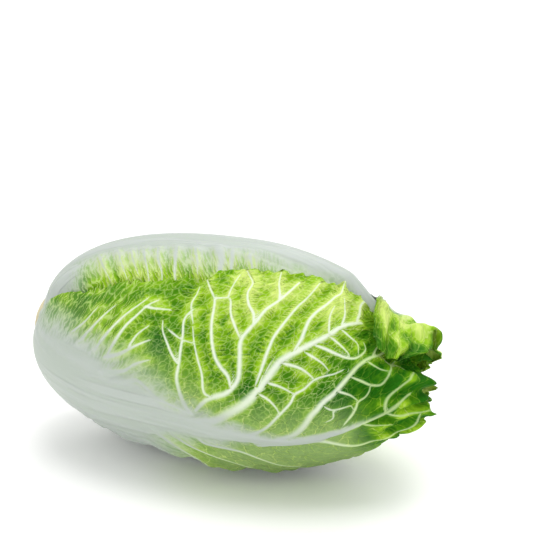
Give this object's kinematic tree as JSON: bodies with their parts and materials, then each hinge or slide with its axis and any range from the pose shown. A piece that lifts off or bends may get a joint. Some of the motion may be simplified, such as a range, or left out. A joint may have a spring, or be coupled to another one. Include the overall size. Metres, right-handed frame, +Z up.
{
  "type": "chinese cabbage",
  "caption": "Whole barrel-shaped head of Chinese cabbage lying on its side, with overlapping ribbed leaves, thick white leaf stalks and frilled green tips.",
  "frame": {"origin": "middle of the footprint, on the surface the head lies on", "axes": "+X along the head from the cut stem to the leaf tips, +Z up, +Y towards the back leaf"},
  "size_m": [0.3002, 0.1546, 0.1552],
  "materials": {
    "leaf": "waxy fresh leaf, green blade and white stalk",
    "heart": "pale yellow-green inner leaf, slightly crinkled",
    "stem": "moist cream-white cut stem"
  },
  "bodies": {
    "root": {"leaf_1": "leaf", "leaf_2": "leaf", "leaf_3": "leaf", "leaf_4": "leaf", "leaf_5": "leaf", "leaf_6": "leaf", "leaf_7": "leaf", "leaf_8": "leaf", "heart": "heart", "stem": "stem"}
  },
  "joints": []
}
